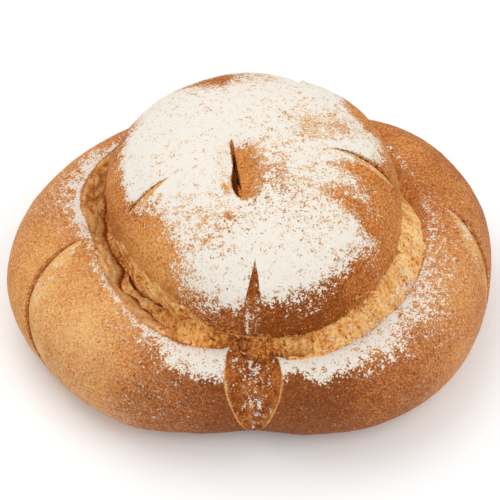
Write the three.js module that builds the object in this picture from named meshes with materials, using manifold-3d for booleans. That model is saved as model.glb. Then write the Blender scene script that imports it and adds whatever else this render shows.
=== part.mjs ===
// A two-tier farmhouse loaf, baked in one piece: a wide base bun with a smaller round of dough, the
// knot, pressed into its top. The pressing finger left a slit in the middle of the knot, a torn groove
// runs round the join, and four scores open each tier.
//
// Millimetres and degrees, +Z up. The loaf rests on its flat underside. Azimuth 0 is +X, the loaf's
// right, and 270 is -Y, its front. Each tier is a ring surface: columns run round it by azimuth, rows
// climb its section by station, and whole stations are the named places on that section.

import * as THREE from 'three';
import { mergeVertices } from 'three/addons/utils/BufferGeometryUtils.js';
import Module from 'manifold-3d';

// ---- sizes ----

// The base bun, as radii round its middle by azimuth. Its sides lean in to a nearly level top.
const BUN = {
  centre: [0, 2],
  radius: [[0, 117], [30, 118.5], [60, 99], [90, 100], [120, 96.5], [150, 109], [180, 118.5],
    [194, 119], [207, 113.5], [235, 103], [250, 93], [270, 87.5], [288, 96], [305, 104.5], [335, 114]],
  widestHeight: 26, // where the side is plumb
  undersideInset: 24, // from the widest line in to the flat underside
  undersideCurve: 0.9, // 1 is an ellipse, less is squarer
  shoulder: 0.86, // share of the top's width that the shoulder's curve takes
  shoulderCurve: 0.92,
  topHeight: [[0, 58], [45, 56], [90, 51], [135, 56], [180, 58], [225, 57], [270, 57], [315, 57]],
  rimDrop: 0.8,
  swellFrom: 0.6, // station where the swells have their full height
};

// The join: the bun's top ends at a torn rim, and a groove leads down to the foot of the knot.
const JOIN = {
  centre: [0.5, 2],
  rim: [[0, 82.5], [30, 83], [60, 84], [90, 84], [120, 85], [150, 86], [168, 84], [181, 77],
    [195, 74.5], [224, 73], [245, 72.5], [264, 68], [281, 74], [302, 78], [329, 80.5]],
  foot: [[0, 69], [30, 71], [60, 72], [90, 72], [120, 71.5], [150, 73], [168, 71], [182, 66],
    [196, 61.5], [204, 65.5], [213, 63], [224, 60.5], [240, 61.5], [264, 63], [288, 65.5], [330, 66]],
  depth: [[0, 5], [90, 7], [150, 9], [195, 9], [225, 8.5], [245, 6], [264, 4], [300, 5], [330, 5]],
  bankCurve: 1.3, // how gently the bank leaves the rim
  floorFall: 1, // the hidden bed under the knot
};

// The knot, as radii round the join's centre where its side is plumb.
const KNOT = {
  radius: [[0, 71.5], [20, 74], [45, 77.5], [70, 81], [90, 81.5], [110, 78], [130, 76.7],
    [150, 75.3], [168, 73], [182, 69.5], [198, 64.5], [218, 63], [240, 64.5], [262, 68], [285, 70.5],
    [305, 71.5], [330, 70.5]],
  widestHeight: 70,
  topHeight: 109,
  domeFullness: 2.3, // 2 is an ellipse, more is squarer
  crownRadius: 30, // inside this the rows close in on the slit
  crownCrowding: 0.8, // below 1 the rows gather toward the slit
  footOverlap: 1.5, // how far the foot dips under the groove
  keyHeight: 28, // the hidden key of dough inside the bun
  keyShare: 0.7,
  swellStart: [0.2, 1], // stations between which the swells rise, and then die out
  swellEnd: [4.6, 5],
};

// The finger slit: a crack with a plumb right wall, which bellies out to the left near its front.
const SLIT = {
  centre: [-7.4, 0.2],
  azimuth: 98,
  halfLength: 16.8,
  crack: 0.4, // half width all along
  belly: 2.8, // extra width on the left
  bellyFrom: 0.35, // shares of the length from the back
  bellyTo: 0.8,
  depth: 17,
  depthCurve: 1.2, // how the walls steepen downward
  lengthLost: 0.25, // of the length, at the bottom
  widthLost: 0.8,
  endCurve: 0.7, // how blunt the bottom's ends are
  backDepth: 0.1, // shares of the depth at the two ends
  frontDepth: 1,
  funnelDepth: 5,
  funnelLength: 0.55, // of the slit's half length
  funnelReach: [11, 10, 9], // past the ends, to the left, to the right
};

const DENTS = [
  { at: [20, 34], reach: 13, depth: 1.6 },
  { at: [-30, -20], reach: 18, depth: 0.6 },
  { at: [30, -5], reach: 12, depth: 0.7 },
];

// Scores run down a tier from station[0] to station[1]. wall 0 is an open leaf with two banks. With
// wall 1 or -1 the cut has one steep bank, on the side of growing or of falling azimuth. startOpen is
// how open it already is where it starts, fade the share of its length over which it gets its depth.
const POINTED = { startOpen: 0, fade: 0.001 };
const BUN_SCORES = [
  { azimuth: [269, 270.5], station: [3.7, 0.55], halfWidth: 17, depth: 5, wall: 0, widest: 0.6, bend: 1,
    startOpen: 0.72, fade: 0.25 },
  { azimuth: [183, 211], station: [2.05, 0.75], halfWidth: 12.8, depth: 2.8, wall: -1, widest: 0.3,
    bend: 1.05, ...POINTED },
  { azimuth: [9.5, -13], station: [1.9, 0.95], halfWidth: 12.8, depth: 3, wall: 1, widest: 0.35, bend: 1.15,
    ...POINTED },
  { azimuth: [84, 82], station: [2.9, 0.5], halfWidth: 12, depth: 5, wall: 0, widest: 0.5, bend: 1,
    ...POINTED },
];
const KNOT_SCORES = [
  { azimuth: [270.8, 268.8], station: [3.08, 0.7], halfWidth: 3.8, depth: 3, wall: 0, widest: 0.64, bend: 1,
    ...POINTED },
  { azimuth: [188.5, 195.5], station: [3.62, 2.1], halfWidth: 2.4, depth: 2.2, wall: -1, widest: 0.5,
    bend: 1, ...POINTED },
  { azimuth: [17, 1.5], station: [3.75, 1.9], halfWidth: 3.4, depth: 3.4, wall: 1, widest: 0.5, bend: 1.3,
    ...POINTED },
  { azimuth: [70, 72.5], station: [2.7, 0.9], halfWidth: 7, depth: 4.5, wall: -1, widest: 0.5, bend: 1,
    ...POINTED },
];
// The shape of a cut across itself, in half widths from its middle, and of the ridges its banks throw up.
const CUT = {
  leafCurve: 0.75, // how square an open leaf's bowl is
  wallShare: 0.65, // of the depth, in the crevice at the foot of the wall
  wallCurve: 14,
  slopeCurve: 1.3, // how the floor falls to the crevice
  taper: 0.8, // how blunt the ends are
  leafRidge: { height: 0.1, at: 1.12, reach: 0.16 },
  wallRidge: { height: 0.15, at: 1.12, reach: 0.14 },
};
const SCORE_END_WIDTH = 0.1; // of the widest, so that the columns never meet
const SCORE_RADIUS = { bun: 105, knot: 60 }; // where a score's half width is measured

// How the columns follow the scores, in half widths from a score's middle: within hold they shift with
// it, within pinch they narrow with it, and they crowd over the cut and at its banks.
const COLUMNS = {
  hold: 1.8,
  release: 2.2, // least width of the zone past hold where the shift dies out
  pinch: [1.15, 4],
  overCut: { crowd: 1.2, reach: 1.4 },
  atBank: { crowd: 5, reach: 0.16 },
  steps: 3600,
};

// Slow swells of hand-shaped dough: height, then the length of one radian along x, y and z.
const SWELLS = [
  { height: 0.45, along: [19, -23, Infinity], lag: 1.07 },
  { height: -0.45, along: [19, 23, Infinity], lag: 3.27 },
  { height: 0.6, along: [31, Infinity, 13], lag: 2 },
  { height: 0.5, along: [-17, 14, Infinity], lag: 0.4 },
];

// Lumps of torn crumb round the join: how many round the loaf, and how high.
const LUMPS = [
  { count: 17, height: 0.55, lag: 1 },
  { count: 29, height: 0.5, lag: 2.2 },
  { count: 46, height: 0.35, lag: 0.5 },
];
// Where the crumb is torn, by station of the bun: the middle of the bank, and the end under the knot.
const TORN = { from: 2.2, middle: 3.45, reach: 0.5, end: [3.85, 4.2] };
// On the front left the torn crumb swells out from under the knot's skin.
const LIP = { azimuth: 215, reach: 34, station: 0.5, stationReach: 0.35, height: 1, lag: 0.4 };

// Rows between one station and the next, and columns round each tier.
const BUN_GRID = { rows: [6, 8, 3, 3, 1], columns: 104 };
const KNOT_GRID = { rows: [4, 5, 6, 5, 4, 3], columns: 88 };

const CRUST = { name: 'crust', color: 0xb8793f, roughness: 0.78, metalness: 0 };

// ---- small functions ----

const TURN = 2 * Math.PI;
const rad = THREE.MathUtils.degToRad;
const { clamp, lerp } = THREE.MathUtils;
const smooth = (from, to, x) => THREE.MathUtils.smoothstep(x, from, to);
const bell = (x, reach) => Math.exp(-((x / reach) ** 2));

// The signed turn from one azimuth to another, within half a turn either way.
function turnTo(angle, from) {
  return THREE.MathUtils.euclideanModulo(angle - from + Math.PI, TURN) - Math.PI;
}

// A smooth closed curve through [degrees, value] stations, read at an angle.
function around(stations, angle) {
  const degrees = THREE.MathUtils.euclideanModulo(THREE.MathUtils.radToDeg(angle), 360);
  const count = stations.length;
  let i = count - 1;
  while (i > 0 && stations[i][0] > degrees) i -= 1;
  const start = stations[i][0];
  const end = i === count - 1 ? 360 + stations[0][0] : stations[i + 1][0];
  const t = (degrees - start) / (end - start);
  const value = (k) => stations[(k + count) % count][1];
  const [a, b, c, d] = [value(i - 1), value(i), value(i + 1), value(i + 2)];
  const slope = c - a;
  const curve = 2 * a - 5 * b + 4 * c - d;
  const twist = 3 * b - a - 3 * c + d;
  return 0.5 * (2 * b + slope * t + curve * t * t + twist * t ** 3);
}

// Station values for a list of row counts, with the pole row before station 0.
function stationRows(counts) {
  const rows = [];
  counts.forEach((count, station) => {
    for (let i = 0; i < count; i += 1) rows.push(station + i / count);
  });
  rows.push(counts.length);
  return rows;
}

// ---- scores ----

const middle = (score) => rad((score.azimuth[0] + score.azimuth[1]) / 2);

// How open a score is along its length: 1 where it is widest, 0 at its outer end.
function openness({ widest, startOpen }, along) {
  const part = clamp(along, 0, 1);
  if (part < widest) return lerp(startOpen, 1, Math.sin(Math.PI / 2 * part / widest));
  return Math.cos(Math.PI / 2 * (part - widest) / (1 - widest));
}

// Where a grid point lies in a score: along it, and across it in half widths.
function placeInScore(score, column, station, radius) {
  const half = score.halfWidth / radius;
  const along = (score.station[0] - station) / (score.station[0] - score.station[1]);
  const open = Math.max(openness(score, along), SCORE_END_WIDTH);
  const swing = rad(score.azimuth[1] - score.azimuth[0]) * clamp(along, 0, 1) ** score.bend;
  const line = rad(score.azimuth[0]) + swing - score.wall * open * half;
  return { half, along, open, line, across: turnTo(column, middle(score)) / half };
}

// Columns bend with each score, so that its banks always lie along them.
function bentAzimuth(scores, column, station, radius) {
  let azimuth = column;
  for (const score of scores) {
    const { half, open, line, across } = placeInScore(score, column, station, radius);
    const drift = Math.abs(rad(score.azimuth[1] - score.azimuth[0])) / 2 / half;
    const release = COLUMNS.hold + Math.max(COLUMNS.release, 2 * drift);
    const hold = 1 - smooth(COLUMNS.hold, release, Math.abs(across));
    const pinch = 1 - smooth(...COLUMNS.pinch, Math.abs(across));
    azimuth += hold * turnTo(line, middle(score)) + pinch * (open - 1) * half * across;
  }
  return azimuth;
}

// A score's depth across itself, and the height of its ridges, as shares of its full depth.
function cutAcross(wall, across) {
  if (wall === 0) {
    const { height, at, reach } = CUT.leafRidge;
    const bowl = clamp(1 - across ** 2, 0, 1) ** CUT.leafCurve;
    return { cut: bowl, ridge: height * bell(Math.abs(across) - at, reach) };
  }
  const { height, at, reach } = CUT.wallRidge;
  const fall = (1 + across * wall) / 2; // 0 at the open side, 1 at the wall
  const slope = lerp(fall ** CUT.slopeCurve, fall ** CUT.wallCurve, CUT.wallShare);
  const cut = fall >= 0 && fall <= 1 ? slope : 0;
  return { cut, ridge: height * bell(across * wall - at, reach) };
}

// How deep the scores cut at a grid point, less the ridges.
function scoreDepth(scores, column, station, radius) {
  let depth = 0;
  for (const score of scores) {
    const { along, across } = placeInScore(score, column, station, radius);
    if (along > 0 && along < 1) {
      const open = openness(score, along) * smooth(0, score.fade, along);
      const { cut, ridge } = cutAcross(score.wall, across);
      depth += score.depth * (cut * open ** CUT.taper - ridge * open);
    }
  }
  return depth;
}

// Azimuths of the columns, crowded where the banks of the scores are.
function columnAzimuths(scores, radius, count) {
  const { overCut, atBank, steps } = COLUMNS;
  const crowd = (angle) => scores.reduce((sum, score) => {
    const across = turnTo(angle, middle(score)) / (score.halfWidth / radius);
    const banks = score.wall === 0 ? [-1, 1] : [score.wall];
    const over = overCut.crowd * bell(across, overCut.reach);
    return banks.reduce((s, bank) => s + atBank.crowd * bell(across - bank, atBank.reach), sum + over);
  }, 1);
  const running = [0];
  for (let i = 1; i <= steps; i += 1) running.push(running[i - 1] + crowd((i - 0.5) / steps * TURN));
  const azimuths = [];
  let step = 0;
  for (let k = 0; k < count; k += 1) {
    const wanted = running[steps] * k / count;
    while (running[step + 1] < wanted) step += 1;
    const part = (wanted - running[step]) / (running[step + 1] - running[step]);
    azimuths.push((step + part) / steps * TURN);
  }
  return azimuths;
}

// ---- relief ----

const swell = ([x, y, z]) => SWELLS.reduce((sum, { height, along, lag }) => (
  sum + height * Math.sin(x / along[0] + y / along[1] + z / along[2] + lag)), 0);

const lumps = (angle) => LUMPS.reduce((sum, { count, height, lag }) => (
  sum + height * Math.sin(count * angle + lag)), 0);

// ---- the base bun ----

// Stations: 0 edge of the flat underside, 1 widest, 2 top of the shoulder, 3 torn rim, 4 foot of the
// groove, 5 middle of the bed under the knot.
function bunPoint(station, azimuth) {
  const radius = around(BUN.radius, azimuth);
  const rim = around(JOIN.rim, azimuth);
  const foot = around(JOIN.foot, azimuth);
  const top = around(BUN.topHeight, azimuth);
  const depth = around(JOIN.depth, azimuth);
  const shoulder = (radius - rim) * BUN.shoulder;
  const part = station - Math.floor(station);
  const quarter = part * Math.PI / 2;
  let r;
  let z;
  if (station < 1) {
    r = radius - BUN.undersideInset * (1 - Math.sin(quarter) ** BUN.undersideCurve);
    z = BUN.widestHeight * (1 - Math.cos(quarter) ** BUN.undersideCurve);
  } else if (station < 2) {
    r = radius - shoulder * (1 - Math.cos(quarter) ** BUN.shoulderCurve);
    z = lerp(BUN.widestHeight, top, Math.sin(quarter) ** BUN.shoulderCurve);
  } else if (station < 3) {
    r = lerp(radius - shoulder, rim, part);
    z = top - BUN.rimDrop * part ** 2;
  } else if (station < 4) {
    r = lerp(rim, foot, part);
    z = top - BUN.rimDrop - depth * Math.sin(quarter) ** JOIN.bankCurve;
  } else {
    r = foot * (5 - station);
    z = top - BUN.rimDrop - depth - JOIN.floorFall * (station - 4);
  }
  const share = smooth(1, 3, station);
  const x = lerp(BUN.centre[0], JOIN.centre[0], share) + r * Math.cos(azimuth);
  const y = lerp(BUN.centre[1], JOIN.centre[1], share) + r * Math.sin(azimuth);
  return [x, y, z];
}

// Swells on the skin, lumps in the torn groove.
function bunRelief(station, azimuth, point) {
  const torn = station > TORN.from ? bell(station - TORN.middle, TORN.reach) : 0;
  const skin = smooth(0, BUN.swellFrom, station) * (1 - torn) * swell(point);
  return skin + torn * lumps(azimuth) * (1 - smooth(...TORN.end, station));
}

// ---- the knot ----

// How far the slit's funnel and the dents lower the crown at x, y.
function crownDrop(x, y) {
  const lean = rad(SLIT.azimuth);
  const [dx, dy] = [x - SLIT.centre[0], y - SLIT.centre[1]];
  const along = dx * Math.cos(lean) + dy * Math.sin(lean);
  const left = dy * Math.cos(lean) - dx * Math.sin(lean);
  const [endReach, leftReach, rightReach] = SLIT.funnelReach;
  const beyond = Math.max(Math.abs(along) - SLIT.halfLength * SLIT.funnelLength, 0);
  const away = Math.hypot(beyond / endReach, Math.max(left, 0) / leftReach);
  const funnel = SLIT.funnelDepth * bell(away, 1) * bell(Math.max(-left, 0), rightReach);
  return DENTS.reduce((sum, { at, reach, depth }) => (
    sum + depth * bell(Math.hypot(x - at[0], y - at[1]), reach)), funnel);
}

function crownHeight(x, y, radius) {
  const away = Math.hypot(x - JOIN.centre[0], y - JOIN.centre[1]) / radius;
  const dome = clamp(1 - away ** KNOT.domeFullness, 0, 1) ** (1 / KNOT.domeFullness);
  return lerp(KNOT.widestHeight, KNOT.topHeight, dome) - crownDrop(x, y);
}

// A point on the slit's outline, at the rim for deep 0 and at the bottom for deep 1.
function slitPoint(column, deep) {
  const lean = rad(SLIT.azimuth);
  const turn = column - lean;
  const forward = (1 - Math.cos(turn)) / 2;
  const belly = Math.sin(turn) > 0 ? SLIT.belly * smooth(SLIT.bellyFrom, SLIT.bellyTo, forward) : 0;
  const along = SLIT.halfLength * (1 - SLIT.lengthLost * deep) * Math.cos(turn);
  const left = (SLIT.crack + belly) * (1 - SLIT.widthLost * deep) * Math.sin(turn);
  const x = SLIT.centre[0] + along * Math.cos(lean) - left * Math.sin(lean);
  const y = SLIT.centre[1] + along * Math.sin(lean) + left * Math.cos(lean);
  const bottom = Math.abs(Math.sin(turn)) ** SLIT.endCurve * lerp(SLIT.backDepth, SLIT.frontDepth, forward);
  return { x, y, sunk: SLIT.depth * bottom * deep ** SLIT.depthCurve };
}

// Stations: 0 foot in the groove, 1 widest, 4 edge of the crown, 5 rim of the slit, 6 its bottom.
function knotPoint(station, azimuth, column) {
  const radius = around(KNOT.radius, azimuth);
  const fullness = 2 / KNOT.domeFullness;
  if (station < 1) {
    const foot = around(JOIN.foot, azimuth) - KNOT.footOverlap;
    const bed = around(BUN.topHeight, azimuth) - BUN.rimDrop - around(JOIN.depth, azimuth);
    const r = lerp(foot, radius, Math.sin(station * Math.PI / 2));
    const z = lerp(bed - KNOT.footOverlap, KNOT.widestHeight, station);
    return [JOIN.centre[0] + r * Math.cos(azimuth), JOIN.centre[1] + r * Math.sin(azimuth), z];
  }
  if (station <= 4) {
    const tip = Math.acos((KNOT.crownRadius / radius) ** (1 / fullness));
    const climb = tip * (station - 1) / 3;
    const r = radius * Math.cos(climb) ** fullness;
    const x = JOIN.centre[0] + r * Math.cos(azimuth);
    const y = JOIN.centre[1] + r * Math.sin(azimuth);
    const z = lerp(KNOT.widestHeight, KNOT.topHeight, Math.sin(climb) ** fullness);
    return [x, y, z - crownDrop(x, y) * smooth(1, 2, station)];
  }
  const inward = Math.min(station - 4, 1) ** KNOT.crownCrowding;
  const slit = slitPoint(column, Math.max(station - 5, 0));
  const x = lerp(JOIN.centre[0] + KNOT.crownRadius * Math.cos(column), slit.x, inward);
  const y = lerp(JOIN.centre[1] + KNOT.crownRadius * Math.sin(column), slit.y, inward);
  return [x, y, crownHeight(x, y, around(KNOT.radius, column)) - slit.sunk];
}

// Swells on the skin, and the torn lip that swells out under it on the front left.
function knotRelief(station, azimuth, point) {
  const skin = (1 - smooth(...KNOT.swellEnd, station)) * smooth(...KNOT.swellStart, station) * swell(point);
  const lipRound = bell(turnTo(azimuth, rad(LIP.azimuth)), rad(LIP.reach));
  const lipUp = bell(station - LIP.station, LIP.stationReach);
  return skin + lipRound * lipUp * (LIP.height + lumps(azimuth + LIP.lag));
}

// ---- building ----

// Outward direction at each point of a grid, from its neighbours.
function gridNormals(grid) {
  return grid.map((row, i) => row.map((_, j) => {
    const count = row.length;
    const along = new THREE.Vector3(...row[(j + 1) % count]);
    along.sub(new THREE.Vector3(...row[(j + count - 1) % count]));
    const up = new THREE.Vector3(...grid[Math.min(i + 1, grid.length - 1)][j]);
    up.sub(new THREE.Vector3(...grid[Math.max(i - 1, 0)][j]));
    return along.cross(up).normalize();
  }));
}

// A tier's grid of points: the smooth form, then relief and scores along its normals.
function tierGrid({ rows, columns }, scores, radius, formPoint, relief) {
  const stations = stationRows(rows);
  const around360 = columnAzimuths(scores, radius, columns);
  const azimuths = stations.map((s) => around360.map((column) => bentAzimuth(scores, column, s, radius)));
  const form = stations.map((s, i) => around360.map((column, j) => formPoint(s, azimuths[i][j], column)));
  const normals = gridNormals(form);
  return form.map((row, i) => row.map((point, j) => {
    const rise = relief(stations[i], azimuths[i][j], point);
    const cut = scoreDepth(scores, around360[j], stations[i], radius);
    const moved = normals[i][j].multiplyScalar(rise - cut).add(new THREE.Vector3(...point));
    return [moved.x, moved.y, Math.max(moved.z, 0)];
  }));
}

// The middle of a row, at a given height, or at the row's own mean height.
function rowMiddle(row, height) {
  const mean = (k) => row.reduce((sum, point) => sum + point[k], 0) / row.length;
  return [mean(0), mean(1), height ?? mean(2)];
}

// A closed shell: the grid, with a fan to a pole at each end.
function closedShell(grid, bottomPole, topPole) {
  const columns = grid[0].length;
  const positions = [...grid.flat(), bottomPole, topPole].flat();
  const bottom = grid.length * columns;
  const indices = [];
  for (let j = 0; j < columns; j += 1) {
    const next = (j + 1) % columns;
    indices.push(bottom, next, j);
    for (let i = 0; i < grid.length - 1; i += 1) {
      const low = i * columns;
      const high = low + columns;
      indices.push(low + j, low + next, high + next, low + j, high + next, high + j);
    }
    const last = (grid.length - 1) * columns;
    indices.push(last + j, last + next, bottom + 1);
  }
  const geometry = new THREE.BufferGeometry();
  geometry.setAttribute('position', new THREE.Float32BufferAttribute(positions, 3));
  geometry.setIndex(indices);
  return mergeVertices(geometry, 1e-4);
}

function bunShell() {
  const grid = tierGrid(BUN_GRID, BUN_SCORES, SCORE_RADIUS.bun, bunPoint, bunRelief);
  const bed = grid.pop();
  return closedShell(grid, rowMiddle(grid[0], 0), rowMiddle(bed));
}

// The knot goes on down as a hidden key inside the bun, so the two tiers are one body.
function knotShell() {
  const grid = tierGrid(KNOT_GRID, KNOT_SCORES, SCORE_RADIUS.knot, knotPoint, knotRelief);
  const key = grid[0].map(([x, y]) => [x * KNOT.keyShare, y * KNOT.keyShare, KNOT.keyHeight]);
  grid.unshift(key);
  return closedShell(grid, rowMiddle(key), rowMiddle(grid[grid.length - 1]));
}

function toSolid(wasm, geometry) {
  const vertProperties = new Float32Array(geometry.attributes.position.array);
  const triVerts = new Uint32Array(geometry.index.array);
  return new wasm.Manifold(new wasm.Mesh({ numProp: 3, vertProperties, triVerts }));
}

function toGeometry(solid) {
  const mesh = solid.getMesh();
  const geometry = new THREE.BufferGeometry();
  geometry.setAttribute('position', new THREE.Float32BufferAttribute(mesh.vertProperties, 3));
  geometry.setIndex(Array.from(mesh.triVerts));
  return geometry;
}

// Puts the middle of the underside at the origin.
function standOnOrigin(geometry) {
  geometry.computeBoundingBox();
  const { min, max } = geometry.boundingBox;
  geometry.translate(-(min.x + max.x) / 2, -(min.y + max.y) / 2, -min.z);
  return geometry;
}

const wasm = await Module();
wasm.setup();

const joined = toSolid(wasm, bunShell()).add(toSolid(wasm, knotShell()));
const geometry = standOnOrigin(toGeometry(joined));
geometry.computeVertexNormals();

const loaf = new THREE.Mesh(geometry, new THREE.MeshStandardMaterial(CRUST));
loaf.name = 'loaf';

const part = new THREE.Group();
part.add(loaf);

export default part;
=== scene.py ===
"""A farmhouse cob loaf: a wide base round with a smaller knot pressed on top of it."""

import math

import bpy
import numpy as np
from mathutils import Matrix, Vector


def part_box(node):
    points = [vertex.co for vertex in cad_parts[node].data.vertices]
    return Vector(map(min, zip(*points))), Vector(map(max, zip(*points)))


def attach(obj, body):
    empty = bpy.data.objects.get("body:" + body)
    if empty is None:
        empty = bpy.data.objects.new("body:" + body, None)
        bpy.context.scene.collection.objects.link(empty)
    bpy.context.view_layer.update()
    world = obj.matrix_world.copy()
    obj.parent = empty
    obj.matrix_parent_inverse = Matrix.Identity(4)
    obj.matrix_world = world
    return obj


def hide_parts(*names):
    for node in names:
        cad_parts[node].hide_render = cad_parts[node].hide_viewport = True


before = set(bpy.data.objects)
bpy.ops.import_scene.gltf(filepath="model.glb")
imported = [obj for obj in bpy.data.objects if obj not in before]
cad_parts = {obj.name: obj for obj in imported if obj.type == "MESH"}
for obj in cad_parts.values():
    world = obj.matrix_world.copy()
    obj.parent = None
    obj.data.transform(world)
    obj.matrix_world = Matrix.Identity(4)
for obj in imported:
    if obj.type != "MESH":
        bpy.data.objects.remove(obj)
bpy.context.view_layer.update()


# The base round. A wide ball of wheat dough, flattened on the baking stone. It is shaped by hand,
# scored with a blade on four sides, dusted with flour and baked brown. A level shelf is left round
# the knot, then the torn bank of the join, which runs down to the knot's foot.

# Lengths are millimetres and angles degrees; azimuth 0 is +X and 90 is the loaf's back. Rows up the
# section are told by station: 0 the underside's edge, 1 the widest ring, 2 the shoulder's top,
# 3 the shelf's inner rim, 4 the bank's foot and 5 the middle of the floor.
BASE_CENTRE = (0.0, 2.0)
BASE_RADIUS = [
    (0, 117), (30, 118.5), (60, 99), (90, 100), (120, 96.5), (150, 109), (180, 118.5), (194, 119),
    (207, 113.5), (235, 103), (250, 93), (270, 87.5), (288, 96), (305, 104.5), (335, 114),
]
BASE_WIDEST = 26.0
UNDERSIDE_INSET = 24.0
FLANK_ROUNDING = 0.9
SHOULDER = 0.86
SHOULDER_ROUNDING = 0.92
SHELF_HEIGHT = [(0, 58), (45, 56), (90, 51), (135, 56), (180, 58), (225, 57), (270, 57), (315, 57)]
SHELF_DROP = 0.8

JOIN_CENTRE = (0.5, 2.0)
JOIN_RIM = [
    (0, 82.5), (30, 83), (60, 84), (90, 84), (120, 85), (150, 86), (168, 84), (181, 77), (195, 74.5),
    (224, 73), (245, 72.5), (264, 68), (281, 74), (302, 78), (329, 80.5),
]
JOIN_FOOT = [
    (0, 69), (30, 71), (60, 72), (90, 72), (120, 71.5), (150, 73), (168, 71), (182, 66), (196, 61.5),
    (204, 65.5), (213, 63), (224, 60.5), (240, 61.5), (264, 63), (288, 65.5), (330, 66),
]
JOIN_DEPTH = [(0, 5), (90, 7), (150, 9), (195, 9), (225, 8.5), (245, 6), (264, 4), (300, 5), (330, 5)]
BANK_ROUNDING = 1.3
JOIN_FLOOR_FALL = 1.0

# Each score: azimuth and station at its inner and outer end, half width and depth, the side of
# its steep wall (0 for a leaf open on both sides), where along it is widest, how far its inner end
# stands open and over what share of the length it deepens, and how it bends. A score with a wall
# also says how floured and how brown its sloping side is.
BASE_SCORES = [
    dict(azimuth=(269, 270.5), station=(3.7, 0.55), half=17, depth=5, wall=0, widest=0.6,
         open=0.72, fade=0.25),
    dict(azimuth=(183, 211), station=(2.05, 0.75), half=12.8, depth=2.8, wall=-1, widest=0.3, bend=1.05,
         dusted=0.25, browning=0.1),
    dict(azimuth=(9.5, -13), station=(1.9, 0.95), half=12.8, depth=3, wall=1, widest=0.35, bend=1.15,
         dusted=0.4, browning=0.25),
    dict(azimuth=(84, 82), station=(2.9, 0.5), half=12, depth=5, wall=0, widest=0.5),
]
BASE_SCORE_RADIUS = 105.0
LEAF_RIDGE = 0.10
WALL_RIDGE = 0.15
CREVICE_HALF_WIDTH = 0.5

BASE_COLUMNS = 640
BASE_ROWS = (24, 42, 28, 44, 6)

# The fine skin stands a little inside the solid, so that the flour on it keeps to its size.
SKIN_INSET = 0.7

FULL_TURN = 2 * math.pi
QUARTER_TURN = math.pi / 2


def ease(low, high, value):
    """0 up to the low value and 1 from the high one on, with a smooth rise between."""
    share = np.clip((value - low) / (high - low), 0, 1)
    return share * share * (3 - 2 * share)


def mix(first, second, share):
    return first + (second - first) * share


def hump(value, width):
    """1 at zero, falling off smoothly on both sides over about a width."""
    return np.exp(-((value / width) ** 2))


def swing(angle, centre):
    """The angle from a centre direction, from minus half a turn to half a turn."""
    return (angle - centre + math.pi) % FULL_TURN - math.pi


def around(stations, angle):
    """A smooth closed curve through (degrees, value) pairs, read at an angle."""
    places = np.radians([place for place, _ in stations])
    values = np.array([value for _, value in stations], float)
    gaps = np.diff(np.append(places, places[0] + FULL_TURN))
    angle = np.asarray(angle) % FULL_TURN
    angle = np.where(angle < places[0], angle + FULL_TURN, angle)
    start = np.searchsorted(places, angle, side="right") - 1
    share = (angle - places[start]) / gaps[start]
    before, here, after, beyond = (values[(start + step) % len(values)] for step in (-1, 0, 1, 2))
    slope = after - before
    curve = 2 * before - 5 * here + 4 * after - beyond
    twist = 3 * here - before - 3 * after + beyond
    return 0.5 * (2 * here + slope * share + curve * share**2 + twist * share**3)


def station_rows(counts):
    """Row stations up a section: so many rows in each whole step of the station."""
    rows = [step + row / count for step, count in enumerate(counts) for row in range(count)]
    return np.array(rows + [len(counts)])[:, None]


def leaf_width(score, share):
    """How wide a score is along its length: 1 at its widest, 0 where it closes."""
    opening = score.get("open", 0.0)
    widest = score["widest"]
    share = np.clip(share, 0, 1)
    rising = opening + (1 - opening) * np.sin(QUARTER_TURN * share / widest)
    falling = np.cos(QUARTER_TURN * (share - widest) / (1 - widest))
    return np.where(share < widest, rising, falling)


def score_places(score, angle, station, radius):
    """The place across a score, -1 to 1 from bank to bank, and the place along it, 0 to 1 outward."""
    first, last = np.radians(score["azimuth"])
    inner, outer = score["station"]
    across = swing(angle, (first + last) / 2) / (score["half"] / radius)
    return across, (inner - station) / (inner - outer)


def column_angles(scores, radius, count):
    """Column directions, crowded where a score's banks need them."""
    fine = np.linspace(0, FULL_TURN, 7201)
    crowding = np.ones_like(fine)
    for score in scores:
        middle = math.radians(sum(score["azimuth"]) / 2)
        across = swing(fine, middle) * radius / score["half"]
        crowding += 1.2 * hump(across, 1.4)
        for bank in ((-1, 1) if score["wall"] == 0 else (score["wall"],)):
            crowding += 5.0 * hump(across - bank, 0.16)
    steps = np.concatenate([[0], np.cumsum((crowding[1:] + crowding[:-1]) / 2)])
    return np.interp(np.arange(count) / count, steps / steps[-1], fine)[None]


def bend_columns(scores, angle, station, radius):
    """Columns lean along with each score, so that its banks follow whole columns."""
    bent = angle + 0 * station
    for score in scores:
        first, last = np.radians(score["azimuth"])
        half = score["half"] / radius
        across, along = score_places(score, angle, station, radius)
        width = np.maximum(leaf_width(score, along), 0.10)
        line = first + (last - first) * np.clip(along, 0, 1) ** score.get("bend", 1.0)
        line = line - score["wall"] * width * half
        drift = abs(last - first) / 2 / half
        hold = 1 - ease(1.8, 1.8 + max(2.2, 2.0 * drift), np.abs(across))
        pinch = 1 - ease(1.15, 4.0, np.abs(across))
        bent = bent + hold * (line - (first + last) / 2) + pinch * (width - 1) * half * across
    return bent


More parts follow.
